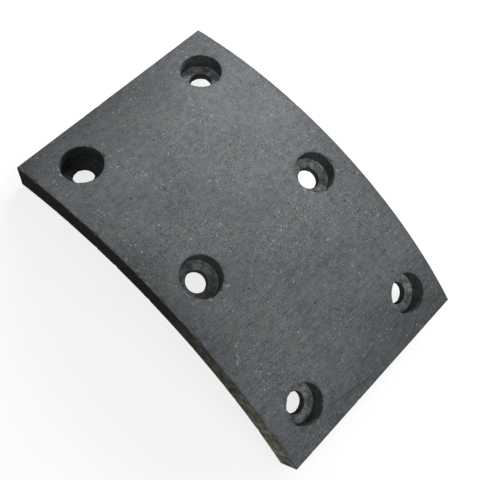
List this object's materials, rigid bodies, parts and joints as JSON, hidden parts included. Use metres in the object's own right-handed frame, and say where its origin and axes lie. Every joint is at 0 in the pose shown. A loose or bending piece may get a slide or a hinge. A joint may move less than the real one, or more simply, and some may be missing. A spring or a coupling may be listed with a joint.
{
  "type": "drum brake lining",
  "caption": "Curved drum-brake lining block of dark moulded friction compound, with counterbored rivet holes through its face and a concave seat for the brake shoe.",
  "frame": {"origin": "middle of the block's footprint, on the plane that the two lower edges of its ends rest on, below the crown", "axes": "+X across the lining's width, parallel to the drum's axis; +Y along the chord from end to end; +Z out of the friction face at its crown. The drum's axis is parallel to X, at Y 0 and Z -0.17743"},
  "size_m": [0.12, 0.1864, 0.0326],
  "materials": {
    "friction_compound": "moulded resin-bonded friction compound, ground on its convex face, matt slate grey with fine pale and metallic flecks"
  },
  "bodies": {
    "root": {"friction_lining": "friction_compound"}
  },
  "joints": []
}
